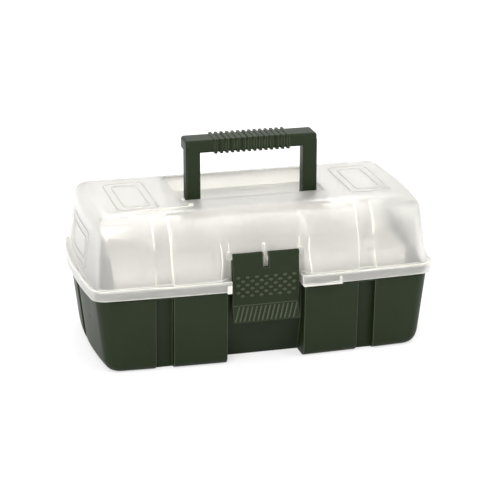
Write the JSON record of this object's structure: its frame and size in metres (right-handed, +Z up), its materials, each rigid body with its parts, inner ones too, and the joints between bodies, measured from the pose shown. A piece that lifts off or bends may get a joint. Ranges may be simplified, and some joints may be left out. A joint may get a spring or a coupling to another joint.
{
  "type": "fishing tackle box with lifting trays",
  "caption": "Domed tackle cabinet: dark green tub, frosted see-through lid with carrying handle, wide front latch and trays that lift on arms as the lid opens.",
  "frame": {"origin": "on the ground under the middle of the lid's rim", "axes": "+X along the long side, to the right seen from the latch; the latch faces -Y; +Z up"},
  "size_m": [0.34, 0.1888, 0.2054],
  "materials": {
    "green_plastic": "satin, moulded dark olive green",
    "frosted_plastic": "frosted, see-through",
    "tray_plastic": "translucent natural",
    "pin_plastic": "moulded",
    "steel": "drawn wire"
  },
  "bodies": {
    "base": {"base_tub": "green_plastic", "hinge_pin_left": "steel", "hinge_pin_right": "steel", "arm_base_pins": "pin_plastic"},
    "lid": {"lid_shell": "frosted_plastic", "link_lid_pins": "pin_plastic"},
    "latch": {"front_latch": "green_plastic"},
    "handle": {"carry_handle": "green_plastic"},
    "front_arms": {"front_arm_left": "green_plastic", "front_arm_right": "green_plastic", "link_arm_pins": "pin_plastic"},
    "rear_arms": {"rear_arm_left": "green_plastic", "rear_arm_right": "green_plastic"},
    "links": {"lid_link_left": "green_plastic", "lid_link_right": "green_plastic"},
    "lower_tray": {"lower_tray": "tray_plastic", "lower_tray_divider_1": "tray_plastic", "lower_tray_divider_2": "tray_plastic", "lower_tray_divider_3": "tray_plastic", "lower_tray_pins": "pin_plastic"},
    "upper_tray": {"upper_tray": "tray_plastic", "upper_tray_divider_1": "tray_plastic", "upper_tray_divider_2": "tray_plastic", "upper_tray_divider_3": "tray_plastic", "upper_tray_divider_4": "tray_plastic", "upper_tray_pins": "pin_plastic"}
  },
  "joints": [
    {"name": "lid_hinge", "type": "hinge", "parent": "base", "child": "lid", "pos_m": [0, 0.092, 0.077], "axis": [-1, 0, 0], "range_deg": [0, 95]},
    {"name": "latch_hinge", "type": "hinge", "parent": "lid", "child": "latch", "pos_m": [0, -0.0786, 0.1058], "axis": [-1, 0, 0], "range_deg": [0, 100]},
    {"name": "handle_fold", "type": "hinge", "parent": "lid", "child": "handle", "pos_m": [0, -0.021, 0.1415], "axis": [-1, 0, 0], "range_deg": [0, 78]},
    {"name": "front_arm_swing", "type": "hinge", "parent": "base", "child": "front_arms", "pos_m": [0, -0.004, 0.062], "axis": [-1, 0, 0], "range_deg": [0, 95]},
    {"name": "rear_arm_swing", "type": "hinge", "parent": "base", "child": "rear_arms", "pos_m": [0, 0.064, 0.062], "axis": [-1, 0, 0], "range_deg": [0, 95]},
    {"name": "link_swing", "type": "hinge", "parent": "lid", "child": "links", "pos_m": [0, 0.044, 0.113], "axis": [1, 0, 0], "range_deg": [0, 95]},
    {"name": "lower_tray_level", "type": "hinge", "parent": "front_arms", "child": "lower_tray", "pos_m": [0, -0.037, 0.0538], "axis": [1, 0, 0], "range_deg": [0, 95]},
    {"name": "upper_tray_level", "type": "hinge", "parent": "front_arms", "child": "upper_tray", "pos_m": [0, -0.0646, 0.0749], "axis": [1, 0, 0], "range_deg": [0, 95]}
  ],
  "couplings": [
    {"joint": "front_arm_swing", "follows": "lid_hinge", "ratio": 1},
    {"joint": "rear_arm_swing", "follows": "lid_hinge", "ratio": 1},
    {"joint": "link_swing", "follows": "lid_hinge", "ratio": 1},
    {"joint": "lower_tray_level", "follows": "lid_hinge", "ratio": 1},
    {"joint": "upper_tray_level", "follows": "lid_hinge", "ratio": 1}
  ]
}
